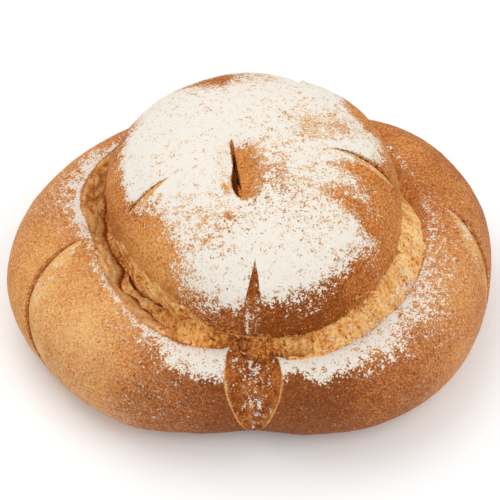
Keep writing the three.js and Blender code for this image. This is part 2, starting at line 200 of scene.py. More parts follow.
def score_depth(scores, angle, station, radius):
    """How deep the blade's cuts are, with the low ridge that each bank throws up."""
    depth = np.zeros(np.broadcast(angle, station).shape)
    for score in scores:
        across, along = score_places(score, angle, station, radius)
        length = leaf_width(score, along) * (along > 0) * (along < 1)
        length = length * ease(0, score.get("fade", 0.001), along)
        if score["wall"] == 0:
            bowl = np.clip(1 - across**2, 0, 1) ** 0.75
            ridge = LEAF_RIDGE * hump(np.abs(across) - 1.12, 0.16)
        else:
            ramp = (1 - across * score["wall"]) / 2
            fall = 1 - np.clip(ramp, 0, 1)
            bowl = np.where((ramp >= 0) & (ramp <= 1), 0.65 * fall**14 + 0.35 * fall**1.3, 0)
            ridge = WALL_RIDGE * hump(across * score["wall"] - 1.12, 0.14)
        depth += score["depth"] * (length**0.8 * bowl - ridge * length)
    return depth


def score_inside(score, angle, station, radius):
    """1 between a score's banks, 1 in the crevice under its wall, and its places across and along."""
    across, along = score_places(score, angle, station, radius)
    length = ease(0, 0.04, along) * (1 - ease(0.96, 1.0, along))
    within = (1 - ease(0.96, 1.04, np.abs(across))) * length
    reach = CREVICE_HALF_WIDTH / score["half"]
    crevice_shade = hump(across - score["wall"] * (1 - reach), reach) * length * abs(score["wall"])
    return within, crevice_shade, across, along


def grid_normals(points):
    """Directions straight out of a skin at each of its points."""
    round_about = np.roll(points, -1, 1) - np.roll(points, 1, 1)
    upward = np.gradient(points, axis=0)
    normals = np.cross(round_about, upward)
    return normals / np.maximum(np.linalg.norm(normals, axis=-1, keepdims=True), 1e-9)


def hand_swells(points):
    """The slow rise and fall of dough shaped by hand."""
    x, y, z = np.moveaxis(points, -1, 0)
    swell = 0.9 * np.sin(x / 19 + 0.6) * np.sin(y / 23 + 1.1)
    return swell + 0.6 * np.sin(z / 13 + x / 31 + 2.0) + 0.5 * np.sin(y / 14 - x / 17 + 0.4)


def torn_lumps(angle):
    """Lumps of crumb along the torn join."""
    wide = 0.55 * np.sin(17 * angle + 1.0)
    return wide + 0.5 * np.sin(29 * angle + 2.2) + 0.35 * np.sin(46 * angle + 0.5)


LATTICE = 48
lattice_values = np.random.default_rng(11).random((LATTICE,) * 3) * 2 - 1


def grain(points, size, layer):
    """Soft noise from -1 to 1 in the dough, in lumps of about one size; each layer differs."""
    places = points / size + layer * 7.3
    cell = np.floor(places).astype(int)
    share = places - cell
    share = share * share * (3 - 2 * share)
    total = 0
    for corner in np.ndindex(2, 2, 2):
        index = (cell + corner) % LATTICE
        weight = np.prod(np.where(corner, share, 1 - share), axis=-1)
        total = total + weight * lattice_values[index[..., 0], index[..., 1], index[..., 2]]
    return total


def base_section(angle, station):
    """Points on the base by angle and station: flank, shoulder, shelf, bank and floor."""
    outline = around(BASE_RADIUS, angle)
    rim = around(JOIN_RIM, angle)
    foot = around(JOIN_FOOT, angle)
    shelf = around(SHELF_HEIGHT, angle)
    drop = around(JOIN_DEPTH, angle)
    shoulder = (outline - rim) * SHOULDER
    edge = shelf - SHELF_DROP
    flank, bulge, level, bank, floor = (np.clip(station - step, 0, 1) for step in range(5))
    parts = [station <= 1, station <= 2, station <= 3, station <= 4]
    radius = np.select(parts, [
        outline - UNDERSIDE_INSET * (1 - np.sin(flank * QUARTER_TURN) ** FLANK_ROUNDING),
        outline - shoulder * (1 - np.cos(bulge * QUARTER_TURN) ** SHOULDER_ROUNDING),
        mix(outline - shoulder, rim, level),
        mix(rim, foot, bank),
    ], foot * (1 - floor))
    height = np.select(parts, [
        BASE_WIDEST * (1 - np.cos(flank * QUARTER_TURN) ** FLANK_ROUNDING),
        BASE_WIDEST + (shelf - BASE_WIDEST) * np.sin(bulge * QUARTER_TURN) ** SHOULDER_ROUNDING,
        shelf - SHELF_DROP * level**2,
        edge - drop * np.sin(bank * QUARTER_TURN) ** BANK_ROUNDING,
    ], edge - drop - JOIN_FLOOR_FALL * floor)
    over = ease(1, 3, station)
    x = mix(BASE_CENTRE[0], JOIN_CENTRE[0], over) + radius * np.cos(angle)
    y = mix(BASE_CENTRE[1], JOIN_CENTRE[1], over) + radius * np.sin(angle)
    return np.stack([x, y, height], -1)


def base_surface():
    """The base's skin as rings of points, with their columns and the angle and station of each."""
    station = station_rows(BASE_ROWS)
    columns = column_angles(BASE_SCORES, BASE_SCORE_RADIUS, BASE_COLUMNS)
    angle = bend_columns(BASE_SCORES, columns, station, BASE_SCORE_RADIUS)
    points = base_section(angle, station + 0 * angle)
    torn = hump(station - 3.45, 0.5) * (station > 2.2)
    inward = score_depth(BASE_SCORES, columns, station, BASE_SCORE_RADIUS)
    inward -= ease(0, 0.6, station) * (1 - torn) * hand_swells(points)
    inward -= torn * torn_lumps(angle) * (1 - ease(3.85, 4.2, station))
    inward += SKIN_INSET * ease(0.1, 0.5, station)
    points = points - grid_normals(points) * inward[..., None]
    return points, columns, angle, station + 0 * angle


# The finish is kept with the skin, as amounts from 0 to about 1: flour, a thin film of it, open
# crumb and how pale that is, and browning. Flour below 0 leaves hardly a grain.
BARE_FLOUR = -0.22
DUST_FILM = 0.45
LOW_FILM = 0.16
FILM_UNDER_FLOUR = 0.42
# The station past which the base's skin has torn off, and how far that edge strays from its line.
BASE_TEAR_EDGE = [
    (0, 3.15), (8, 3.5), (20, 4.0), (60, 4.2), (120, 4.2), (200, 4.2), (228, 4.15), (240, 3.8),
    (248, 3.3), (256, 3.1), (266, 3.0), (280, 2.95), (293, 2.62), (298, 2.85), (308, 3.1), (316, 2.97),
    (333, 2.98), (343, 3.02),
]
BASE_RAGGEDNESS = [(0, 2.2), (30, 1.3), (240, 1.3), (275, 1.8), (295, 3.0), (340, 3.2)]
# The station at which flour ends and the bank's stretched skin begins.
BASE_BANK_EDGE = [
    (0, 3.0), (135, 3.0), (148, 2.75), (158, 2.5), (166, 2.6), (174, 2.85), (182, 3.0), (270, 3.0),
]
# Where the skin is stretched and rough on the bank.
BASE_STRETCHED = [
    (0, 0.4), (60, 0.6), (140, 0.8), (165, 1.0), (190, 0.9), (215, 0.7), (240, 0.8), (256, 0.3),
    (290, 0.0), (330, 0.0),
]
# Where the bank's skin has opened so far that pale crumb shows through it.
BASE_BANK_OPENED = [
    (0, 0.0), (120, 0.0), (150, 0.0), (165, 0.1), (178, 0.35), (190, 0.95), (205, 1.05), (222, 0.9),
    (235, 0.6), (250, 0.2), (280, 0.0),
]
BANK_PALENESS = 0.95
BASE_CRUMB_PALENESS = [
    (0, 0.72), (20, 0.5), (60, 0.4), (120, 0.3), (160, 0.15), (190, 0.45), (206, 0.68), (222, 0.75),
    (240, 0.52), (252, 0.42), (263, 0.2), (274, 0.22), (285, 0.54), (300, 0.64), (325, 0.68),
    (340, 0.74),
]
BASE_BROWNING = [
    (0, 0.54), (20, 0.6), (40, 0.6), (90, 0.57), (140, 0.52), (165, 0.46), (180, 0.38), (200, 0.27),
    (215, 0.27), (228, 0.4), (240, 0.74), (262, 0.98), (278, 1.0), (300, 0.9), (315, 0.7), (330, 0.52),
    (345, 0.48),
]
# The crevice under a score's wall: how brown it is, made darker still as painted shade.
CREVICE_BROWNING_AND_SHADE = 1.05
# Flour on the shelf: how much, the station it reaches outward to, and over how much it thins out.
BASE_DUST_AMOUNT = [
    (0, 0.42), (20, 0.2), (40, 0.35), (62, 0.3), (90, 0.35), (120, 0.45), (140, 0.7), (155, 0.82),
    (168, 0.85), (176, 0.85), (183, 0.65), (190, 0.4), (197, 0.55), (205, 0.5), (214, 0.55), (222, 0.6),
    (232, 0.8), (243, 0.86), (256, 0.96), (278, 1.05), (290, 1.04), (300, 1.0), (312, 0.9), (325, 0.76),
    (340, 0.62),
]
BASE_DUST_REACH = [
    (0, 1.9), (20, 2.0), (40, 2.2), (62, 2.3), (90, 2.0), (140, 1.9), (155, 1.8), (168, 1.85),
    (176, 1.95), (183, 2.1), (195, 2.15), (210, 2.3), (222, 2.1), (232, 1.95), (243, 1.78), (256, 1.66),
    (278, 1.68), (290, 1.68), (300, 1.68), (325, 1.75), (340, 1.85),
]
BASE_DUST_FADE = [
    (0, 0.6), (90, 0.5), (150, 0.6), (168, 0.75), (180, 0.6), (200, 0.8), (222, 0.7), (240, 0.45),
    (262, 0.3), (278, 0.34), (300, 0.6), (325, 0.7),
]
# The faint dusting all over the flank: single grains, and a film that greys the crust.
BASE_LIGHT_DUST = [
    (0, 0.16), (20, 0.08), (60, 0.06), (150, 0.1), (170, 0.25), (190, 0.08), (215, 0.25), (240, 0.18),
    (262, 0.08), (285, 0.08), (305, 0.1), (325, 0.18), (345, 0.2),
]


def base_ragged(points, angle):
    """How far the base's torn edge strays from its line, in stations."""
    strays = 0.10 * grain(points, 8.0, 1) + 0.08 * grain(points, 3.0, 2) + 0.04 * grain(points, 1.4, 3)
    return strays * around(BASE_RAGGEDNESS, angle)


def base_flour(points, angle, station):
    """Flour heaped on the shelf, thinning outward to single grains on the flank."""
    reach = around(BASE_DUST_REACH, angle) + 0.14 * grain(points, 11.0, 4) + 0.05 * grain(points, 4.0, 17)
    heap = around(BASE_DUST_AMOUNT, angle) + 0.16 * grain(points * (1, 1, 0.4), 6.0, 18)
    bare = BARE_FLOUR + around(BASE_LIGHT_DUST, angle) + 0.1 * grain(points, 14.0, 19)
    return mix(bare, heap, ease(-0.5, 0.5, (station - reach) / around(BASE_DUST_FADE, angle)))


def base_film(points, angle, station, flour):
    """The film of flour on the flank, low down where the crust is light, and under the heap."""
    low = 1 - ease(0.7, 1.25, station + 0.1 * grain(points, 12.0, 20))
    light = 1 - 0.8 * ease(0.5, 0.85, around(BASE_BROWNING, angle))
    film = DUST_FILM * around(BASE_LIGHT_DUST, angle) + LOW_FILM * low * light
    return np.maximum(film, FILM_UNDER_FLOUR * ease(0.6, 1.1, flour))


def base_browning(points, angle, station, stretched):
    """Browning by azimuth, less on the shelf; the stretched bank is mottled, and dark at its foot as
    painted shade of the groove.
    """
    browning = around(BASE_BROWNING, angle)
    browning = browning - 0.22 * ease(1.5, 2.4, station) * ease(0.5, 0.9, browning)
    browning = browning + 0.12 * grain(points, 22.0, 5)
    # The dark band at the bank's foot is painted shade of the join's groove.
    return browning + stretched * (1.2 * ease(3.56, 3.84, station) - 0.35 + 0.4 * grain(points, 3.0, 30))


def bank_crumb(points, angle, station, bank):
    """How far crumb shows through the bank's skin, and how pale the crumb is there."""
    opened = around(BASE_BANK_OPENED, angle) * ease(-0.05, 0.2, bank) * (1 - ease(3.45, 3.75, station))
    pale = mix(BANK_PALENESS, around(BASE_CRUMB_PALENESS, angle), ease(3.9, 4.1, station))
    return opened * (0.7 + 0.6 * grain(points, 2.5, 35)), pale + 0.35 * grain(points, 3.0, 36)


def finish_base_score(score, finish, points, columns, station):
    """A streak of flour down an open leaf, or a paler slope with a line of browning and painted shade
    under its wall.
    """
    within, crevice_shade, across, along = score_inside(score, columns, station, BASE_SCORE_RADIUS)
    if score["wall"] == 0:
        streak = 0.54 * hump(across - 0.02, 0.45) + 0.55 * grain(points * (1.8, 0.3, 0.3), 2.2, 6) - 0.06
        finish["flour"] = mix(finish["flour"], streak * ease(0.0, 0.12, along), within)
        finish["film"] = mix(finish["film"], 0.0, within)
        finish["browning"] = mix(finish["browning"], 0.8 + 0.3 * grain(points, 4.0, 7), within)
        rim = hump(np.abs(across) - 1.0, 0.04) * ease(0.4, 0.6, along)
        finish["browning"] = mix(finish["browning"], 0.0, 0.8 * rim)
    else:
        within = within * ease(-1.0, 0.4, across * score["wall"])
        slope = score["browning"] + 0.15 * grain(points, 5.0, 7)
        finish["flour"] = mix(finish["flour"], score["dusted"] * ease(0.3, 0.9, 1 - along), within)
        finish["browning"] = mix(finish["browning"], slope, within)
    # The crevice under the wall loses its flour and is darkened: browning of the cut edge and painted
    # shade.
    finish["flour"] = finish["flour"] * (1 - crevice_shade)
    finish["film"] = finish["film"] * (1 - crevice_shade)
    finish["browning"] = mix(finish["browning"], CREVICE_BROWNING_AND_SHADE, crevice_shade)


def thin_flour(flour):
    """1 where flour lies so thin that it shows as separate lumps."""
    return ease(0.0, 0.3, flour) * (1 - ease(0.75, 1.05, flour))


def base_finish(points, columns, angle, station):
    """The base's finish, where its skin dives under past the torn edge, and where it is rough."""
    ragged = base_ragged(points, angle)
    tear = station - around(BASE_TEAR_EDGE, angle) - ragged
    bank = station - ragged - around(BASE_BANK_EDGE, angle)
    dive = ease(-0.02, 0.03, tear)
    stretched = around(BASE_STRETCHED, angle) * ease(0.05, 0.4, bank)
    flour = base_flour(points, angle, station)
    flour = mix(flour, BARE_FLOUR, np.maximum(ease(-0.04, 0.02, tear), ease(-0.15, 0.15, bank)))
    film = base_film(points, angle, station, flour) * (1 - stretched)
    crumb, pale = bank_crumb(points, angle, station, bank)
    crumb = np.clip(np.maximum(dive, crumb), 0, 1)
    browning = base_browning(points, angle, station, stretched)
    finish = dict(flour=flour, film=film, crumb=crumb, pale=pale, browning=browning)
    for score in BASE_SCORES:
        finish_base_score(score, finish, points, columns, station)
    finish["clumps"] = thin_flour(finish["flour"]) * ease(0.0, 0.3, grain(points, 9.0, 37))
    finish["clumps"] *= ease(1.15, 1.4, station)
    return finish, dive, stretched * (1 - ease(3.9, 4.05, station))


FLOUR_THICKNESS = 0.12
TORN_UNDER = 2.6
ROUGH_HEIGHT = 1.0


def skin_relief(points):
    """The dimples and fine creases of baked skin, in millimetres."""
    return 0.16 * grain(points, 7.0, 12) + 0.09 * grain(points, 3.0, 13) + 0.05 * grain(points, 1.5, 14)


def crumb_relief(points, angle):
    """Lumps, pits and pulled strands of torn crumb, from about -1 to 1."""
    lumps = 0.5 * grain(points, 5.0, 8) + 0.45 * grain(points, 2.4, 9) + 0.35 * grain(points, 1.2, 10)
    pits = ease(0.3, 0.75, grain(points, 2.8, 11))
    strands = grain(np.stack([angle * 75, points[..., 2], 0 * angle], -1) * (1, 0.25, 1), 1.6, 15)
    return lumps - 0.6 * pits + 0.1 * strands


def raise_finish(points, angle, flour, dive, rough, freedom):
    """Moves the skin by its relief, its flour and its roughness; past the torn edge it dives."""
    relief = skin_relief(points) + FLOUR_THICKNESS * np.clip(flour, 0, 1)
    relief = relief + ROUGH_HEIGHT * rough * crumb_relief(points, angle)
    relief = mix(relief, -TORN_UNDER, dive)
    return points + grid_normals(points) * (relief * freedom)[..., None]


points, columns, angle, station = base_surface()
base_values, dive, rough = base_finish(points, columns, angle, station)
base_points = raise_finish(points, angle, base_values["flour"], dive, rough, ease(0.05, 0.5, station))
base_points[..., 2] = np.maximum(base_points[..., 2], 0)

# The base is the widest part, so its middle is set on the middle of the solid loaf's box.
spread = base_points.reshape(-1, 3) / 1000
middle = (spread.min(0) + spread.max(0)) / 2
cad_low, cad_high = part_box("loaf")
to_frame = np.array([
    (cad_low.x + cad_high.x) / 2 - middle[0],
    (cad_low.y + cad_high.y) / 2 - middle[1],
    cad_low.z,
])


def faces_between(lower, upper):
    """Four-cornered faces between rings of point numbers and the rings that follow them."""
    corners = [lower, np.roll(lower, -1, 1), np.roll(upper, -1, 1), upper]
    return np.stack(corners, -1).reshape(-1, 4).tolist()


def mesh_piece(name, vertices, faces, finish, material):
    """A piece of the loaf at its place in the frame, with its finish kept at its points."""
    mesh = bpy.data.meshes.new(name)
    mesh.from_pydata((vertices / 1000 + to_frame).tolist(), [], faces)
    for key, values in finish.items():
        attribute = mesh.attributes.new(key, "FLOAT", "POINT")
        attribute.data.foreach_set("value", values.reshape(-1).astype(np.float32))
    mesh.polygons.foreach_set("use_smooth", [True] * len(mesh.polygons))
    mesh.update()
    mesh.materials.append(material)
    piece = bpy.data.objects.new(name, mesh)
    bpy.context.scene.collection.objects.link(piece)
    return piece


def closed_skin(name, points, finish, material):
    """A closed mesh of rings, with a middle point under the first ring and over the last."""
    rows, columns = points.shape[:2]
    vertices = np.vstack([points.reshape(-1, 3), points[0].mean(0), points[-1].mean(0)])
    numbers = np.arange(rows * columns).reshape(rows, columns)
    beside = np.roll(numbers, -1, 1)
    low, high = rows * columns, rows * columns + 1
    faces = faces_between(numbers[:-1], numbers[1:])
    faces += [(low, int(b), int(a)) for a, b in zip(numbers[0], beside[0])]
    faces += [(high, int(a), int(b)) for a, b in zip(numbers[-1], beside[-1])]
    ends = {key: [values[0].mean(), values[-1].mean()] for key, values in finish.items()}
    finish = {key: np.append(values, ends[key]) for key, values in finish.items()}
    return mesh_piece(name, vertices, faces, finish, material)


def add(tree, kind, inputs=None, **settings):
    """Adds a node; each input is a plain value, or a socket to join."""
    node = tree.nodes.new(kind)
    for key, value in settings.items():
        setattr(node, key, value)
    for key, value in (inputs or {}).items():
        if isinstance(value, bpy.types.NodeSocket):
            tree.links.new(value, node.inputs[key])
        else:
            node.inputs[key].default_value = value
    return node


def amount(tree, key):
    return add(tree, "ShaderNodeAttribute", attribute_name=key).outputs["Fac"]


def sums(tree, operation, first, second=0.0, third=0.0):
    return add(tree, "ShaderNodeMath", {0: first, 1: second, 2: third}, operation=operation).outputs[0]


def speckle(tree, place, size, detail=2.0, roughness=0.5, stretch=0.0):
    """Noise from 0 to 1 whose grains are about a size across, in metres."""
    inputs = {"Vector": place, "Scale": 1 / size, "Detail": detail, "Roughness": roughness}
    inputs["Distortion"] = stretch
    return add(tree, "ShaderNodeTexNoise", inputs).outputs["Fac"]


def varied(tree, level, noise, strength):
    """A level that noise raises and lowers about its middle."""
    return sums(tree, "MULTIPLY_ADD", sums(tree, "SUBTRACT", noise, 0.5), strength, level)


def step_between(tree, value, low, high, bottom=0.0, top=1.0):
    inputs = {"Value": value, "From Min": low, "From Max": high, "To Min": bottom, "To Max": top}
    return add(tree, "ShaderNodeMapRange", inputs, interpolation_type="SMOOTHSTEP").outputs[0]


# The mix node names its sockets alike for each kind of value; these are the places of its colours.
FIRST_COLOUR = 6
SECOND_COLOUR = 7
MIXED_COLOUR = 2


def blend_colours(tree, share, first, second):
    inputs = {"Factor": share, FIRST_COLOUR: first, SECOND_COLOUR: second}
    return add(tree, "ShaderNodeMix", inputs, data_type="RGBA").outputs[MIXED_COLOUR]


def linear(level):
    """A level as it is seen, from 0 to 255, in the shader's own linear values."""
    level = level / 255
    return level / 12.92 if level <= 0.04045 else ((level + 0.055) / 1.055) ** 2.4


def colour(red, green, blue):
    return (linear(red), linear(green), linear(blue), 1.0)


def ramp(tree, share, stops):
    """A colour that runs through the stops, each a place from 0 to 1 and its shade."""
    node = add(tree, "ShaderNodeValToRGB", {"Fac": share})
    elements = node.color_ramp.elements
    while len(elements) < len(stops):
        elements.new(0.5)
    for element, (place, shade) in zip(elements, stops):
        element.position = place
        element.color = shade
    return node.outputs["Color"]


CRUST_SHADES = [
    (0.0, colour(222, 172, 108)),
    (0.25, colour(208, 146, 80)),
    (0.5, colour(188, 116, 56)),
    (0.75, colour(154, 82, 28)),
    (1.0, colour(116, 54, 8)),
]
CRUMB_SHADES = [
    (0.0, colour(84, 38, 10)),
    (0.22, colour(150, 82, 32)),
    (0.45, colour(196, 120, 54)),
    (0.7, colour(222, 160, 88)),
    (1.0, colour(240, 204, 144)),
]
FLOUR_SHADE = colour(220, 214, 204)
FLOUR_THIN_SHADE = colour(214, 188, 156)
BRAN_SHADE = colour(92, 50, 24)
BRAN_SPACING = 0.0028
CRUST_ROUGHNESS = 0.62
FLOUR_ROUGHNESS = 1.0
BREAD_SPECULAR = 0.08
PORE_DEPTH = 0.00035


def crust_colour(tree, place):
    """Baked skin: browning in soft clouds, a fine light and dark speckle, and specks of bran."""
    level = varied(tree, amount(tree, "browning"), speckle(tree, place, 0.009, 3.0, 0.6), 0.4)
    level = varied(tree, level, speckle(tree, place, 0.0011, 4.0, 0.8), 2.3)
    skin = ramp(tree, level, CRUST_SHADES)
    cells = {"Vector": place, "Scale": 1 / BRAN_SPACING}
    dots = add(tree, "ShaderNodeTexVoronoi", cells).outputs["Distance"]
    size = step_between(tree, speckle(tree, place, 0.004), 0.4, 0.7, 0.08, 0.2)
    bran = step_between(tree, sums(tree, "SUBTRACT", dots, size), -0.03, 0.03, 1.0, 0.0)
    return blend_colours(tree, sums(tree, "MULTIPLY", bran, 0.72), skin, BRAN_SHADE)


def crumb_colour(tree, place):
    """Torn crumb, pale to orange brown: painted light where it stands up, painted shade in its hollows
    and holes.
    """
    level = varied(tree, amount(tree, "pale"), speckle(tree, place, 0.0018, 4.0, 0.75), 2.3)
    # Noise holes darken the crumb: painted shade in its holes.
    shaded_holes = step_between(tree, speckle(tree, place, 0.0024, 2.0, 0.5, 1.5), 0.56, 0.68)
    level = sums(tree, "MULTIPLY_ADD", shaded_holes, -0.5, level)
    return ramp(tree, step_between(tree, level, -0.6, 1.25), CRUMB_SHADES)


def flour_cover(tree, place):
    """Where flour hides the skin, in curdled clumps that thin out to grains, and how thick it is."""
    level = varied(tree, amount(tree, "flour"), speckle(tree, place, 0.0033, 3.0, 0.65), 2.1)
    level = varied(tree, level, speckle(tree, place, 0.00095, 2.0, 0.6), 2.7)
    return step_between(tree, level, 0.42, 0.64), level


def bread_colour(tree, place, cover, level):
    """Crust, broken by flecks of crumb where it has opened, then the film, then the flour."""
    opening = varied(tree, amount(tree, "crumb"), speckle(tree, place, 0.0015, 3.0, 0.7), 1.6)
    opened = step_between(tree, opening, 0.3, 0.68)
    body = blend_colours(tree, opened, crust_colour(tree, place), crumb_colour(tree, place))
    patches = step_between(tree, speckle(tree, place, 0.0013, 3.0, 0.7), 0.4, 0.66, 0.1, 2.4)
    film = sums(tree, "MULTIPLY", amount(tree, "film"), patches)
    body = blend_colours(tree, film, body, FLOUR_THIN_SHADE)
    flour = blend_colours(tree, step_between(tree, level, 0.45, 1.0), FLOUR_THIN_SHADE, FLOUR_SHADE)
    return blend_colours(tree, cover, body, flour)


def bread_material(name):
    """The one material of crust, crumb and flour; the finish kept at the points tells them apart."""
    material = bpy.data.materials.new(name)
    material.use_nodes = True
    tree = material.node_tree
    shader = tree.nodes["Principled BSDF"]
    place = add(tree, "ShaderNodeTexCoord").outputs["Object"]
    cover, level = flour_cover(tree, place)
    rough = step_between(tree, cover, 0.0, 1.0, CRUST_ROUGHNESS, FLOUR_ROUGHNESS)
    pores = speckle(tree, place, 0.0009, 3.0, 0.65)
    height = sums(tree, "MULTIPLY_ADD", cover, 0.6, pores)
    bump = add(tree, "ShaderNodeBump", {"Strength": 0.5, "Distance": PORE_DEPTH, "Height": height})
    tree.links.new(bread_colour(tree, place, cover, level), shader.inputs["Base Color"])
    tree.links.new(rough, shader.inputs["Roughness"])
    tree.links.new(bump.outputs["Normal"], shader.inputs["Normal"])
    shader.inputs["Specular IOR Level"].default_value = BREAD_SPECULAR
    return material


crust = bread_material("crust")
base_skin = closed_skin("loaf_base", base_points, base_values, crust)
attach(base_skin, "root")
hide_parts("loaf")


# The knot. A smaller ball of the same dough, set on the base and pressed home with one finger,
# which leaves the deep slit in its crown. It has four scores of its own, and most of the flour.

# The knot's stations: 0 its foot in the join, 1 its widest ring, 4 the crown's ring, 5 the slit's
# outline and 6 the slit's bottom.
KNOT_CENTRE = (0.5, 2.0)
KNOT_RADIUS = [
    (0, 71.5), (20, 74), (45, 77.5), (70, 81), (90, 81.5), (110, 78), (130, 76.7), (150, 75.3),
    (168, 73), (182, 69.5), (198, 64.5), (218, 63), (240, 64.5), (262, 68), (285, 70.5), (305, 71.5),
    (330, 70.5),
]
KNOT_WIDEST = 70.0
KNOT_TOP = 109.0
DOME_FULLNESS = 2.3
CROWN_RADIUS = 30.0
FOOT_OVERLAP = 1.5
SLIT_CENTRE = (-7.4, 0.2)
SLIT_AZIMUTH = 98.0
SLIT_HALF_LENGTH = 16.8
SLIT_CRACK = 0.4
SLIT_BELLY = 2.8
SLIT_BELLY_FROM = 0.35
SLIT_BELLY_TO = 0.8
SLIT_DEPTH = 17.0
# The funnel that the finger pressed round the slit: its depth, and its reach past the slit's ends
# and to the west and east of it.
FUNNEL_DEPTH = 5.0
FUNNEL_REACH = (11.0, 10.0, 9.0)
# Dents in the crown: place, reach and depth.
DENTS = [(20.0, 34.0, 13.0, 1.6), (-30.0, -20.0, 18.0, 0.6), (30.0, -5.0, 12.0, 0.7)]
KNOT_SCORES = [
    dict(azimuth=(270.8, 268.8), station=(3.08, 0.7), half=3.8, depth=3, wall=0, widest=0.64),
    dict(azimuth=(188.5, 195.5), station=(3.62, 2.1), half=2.4, depth=2.2, wall=-1, widest=0.5,
         dusted=0.25, browning=0.2),
    dict(azimuth=(17, 1.5), station=(3.75, 1.9), half=3.4, depth=3.4, wall=1, widest=0.5, bend=1.3,
         dusted=0.25, browning=0.2),
    dict(azimuth=(70, 72.5), station=(2.7, 0.9), half=7, depth=4.5, wall=-1, widest=0.5),
]
KNOT_SCORE_RADIUS = 60.0
LIP_AZIMUTH = 215.0
LIP_SPREAD = 34.0
KNOT_COLUMNS = 580
KNOT_ROWS = (34, 32, 32, 26, 26, 12)


def crown_drop(x, y):
    """How far the finger's funnel and the dents lower the crown."""
    turned = math.radians(SLIT_AZIMUTH)
    dx, dy = x - SLIT_CENTRE[0], y - SLIT_CENTRE[1]
    along = dx * math.cos(turned) + dy * math.sin(turned)
    across = dy * math.cos(turned) - dx * math.sin(turned)
    along = np.clip(np.abs(along) - SLIT_HALF_LENGTH * 0.55, 0, None)
    end_reach, west_reach, east_reach = FUNNEL_REACH
    west = np.hypot(along / end_reach, np.clip(across, 0, None) / west_reach)
    drop = FUNNEL_DEPTH * hump(west, 1.0) * hump(np.clip(-across, 0, None), east_reach)
    for dent_x, dent_y, reach, depth in DENTS:
        drop = drop + depth * hump(np.hypot(x - dent_x, y - dent_y), reach)
    return drop


def crown_height(x, y, radius):
    """The dome's height at a place, lowered by the funnel and the dents."""
    share = np.hypot(x - KNOT_CENTRE[0], y - KNOT_CENTRE[1]) / radius
    dome = np.clip(1 - share**DOME_FULLNESS, 0, 1) ** (1 / DOME_FULLNESS)
    return KNOT_WIDEST + (KNOT_TOP - KNOT_WIDEST) * dome - crown_drop(x, y)


def knot_flank_and_dome(angle, station):
    """From the foot in the join, past the widest ring, up to the crown."""
    radius = around(KNOT_RADIUS, angle)
    foot = around(JOIN_FOOT, angle)
    bed = around(SHELF_HEIGHT, angle) - SHELF_DROP - around(JOIN_DEPTH, angle) - FOOT_OVERLAP
    power = 2 / DOME_FULLNESS
    flank = np.clip(station, 0, 1)
    tip = np.arccos((CROWN_RADIUS / radius) ** (1 / power))
    climb = tip * np.clip((station - 1) / 3, 0, 1)
    below = mix(foot - FOOT_OVERLAP, radius, np.sin(flank * QUARTER_TURN))
    above = KNOT_WIDEST + (KNOT_TOP - KNOT_WIDEST) * np.sin(climb) ** power
    reach = np.where(station > 1, radius * np.cos(climb) ** power, below)
    height = np.where(station > 1, above, mix(bed, KNOT_WIDEST, flank))
    x = KNOT_CENTRE[0] + reach * np.cos(angle)
    y = KNOT_CENTRE[1] + reach * np.sin(angle)
    return x, y, height - crown_drop(x, y) * ease(1, 2, station)


def slit_place(columns, share):
    """The slit's outline, a crack that bellies out at the front left, and narrows as it goes down."""
    turned = math.radians(SLIT_AZIMUTH)
    facing = columns - turned
    forward = (1 - np.cos(facing)) / 2
    belly = SLIT_BELLY * ease(SLIT_BELLY_FROM, SLIT_BELLY_TO, forward) * (np.sin(facing) > 0)
    width = SLIT_CRACK + belly
    along = SLIT_HALF_LENGTH * (1 - 0.25 * share) * np.cos(facing)
    across = width * (1 - 0.8 * share) * np.sin(facing)
    x = SLIT_CENTRE[0] + along * math.cos(turned) - across * math.sin(turned)
    y = SLIT_CENTRE[1] + along * math.sin(turned) + across * math.cos(turned)
    sink = np.abs(np.sin(facing)) ** 0.7 * (0.55 - 0.45 * np.cos(facing)) * share**1.2
    return x, y, SLIT_DEPTH * sink


def knot_surface():
    """The knot's skin as rings of points, up over the crown and down into the slit."""
    station = station_rows(KNOT_ROWS)
    columns = column_angles(KNOT_SCORES, KNOT_SCORE_RADIUS, KNOT_COLUMNS)
    angle = bend_columns(KNOT_SCORES, columns, station, KNOT_SCORE_RADIUS)
    x, y, height = knot_flank_and_dome(angle, station + 0 * angle)
    slit_x, slit_y, sink = slit_place(columns, np.clip(station - 5, 0, 1))
    toward = np.clip(station - 4, 0, 1) ** 0.8
    ring_x = KNOT_CENTRE[0] + CROWN_RADIUS * np.cos(columns)
    ring_y = KNOT_CENTRE[1] + CROWN_RADIUS * np.sin(columns)
    on_crown = station > 4
    x = np.where(on_crown, mix(ring_x, slit_x, toward), x)
    y = np.where(on_crown, mix(ring_y, slit_y, toward), y)
    height = np.where(on_crown, crown_height(x, y, around(KNOT_RADIUS, columns)) - sink, height)
    points = np.stack([x, y, height], -1)
    inward = score_depth(KNOT_SCORES, columns, station, KNOT_SCORE_RADIUS)
    inward -= (1 - ease(4.6, 5.0, station)) * ease(0.2, 1.0, station) * hand_swells(points)
    lip = hump(swing(angle, math.radians(LIP_AZIMUTH)), math.radians(LIP_SPREAD))
    lip = lip * hump(station - 0.5, 0.35)
    inward -= lip * (1.0 + torn_lumps(angle + 0.4))
    inward += SKIN_INSET
    points = points - grid_normals(points) * inward[..., None]
    return points, columns, angle, station + 0 * angle


# The station below which the knot's skin has torn off, and how far that edge strays from its line.
KNOT_TEAR_EDGE = [
    (0, 1.0), (12, 0.3), (30, -0.3), (90, -0.3), (150, -0.3), (225, -0.3), (236, 0.1), (246, 0.75),
    (256, 0.95), (272, 0.85), (280, 0.64), (290, 0.52), (300, 0.66), (308, 0.88), (317, 0.98),
    (330, 1.02), (345, 1.08),
]
KNOT_RAGGEDNESS = [(0, 2.0), (30, 1.2), (225, 1.2), (262, 1.5), (285, 2.2), (305, 3.2), (340, 3.2)]
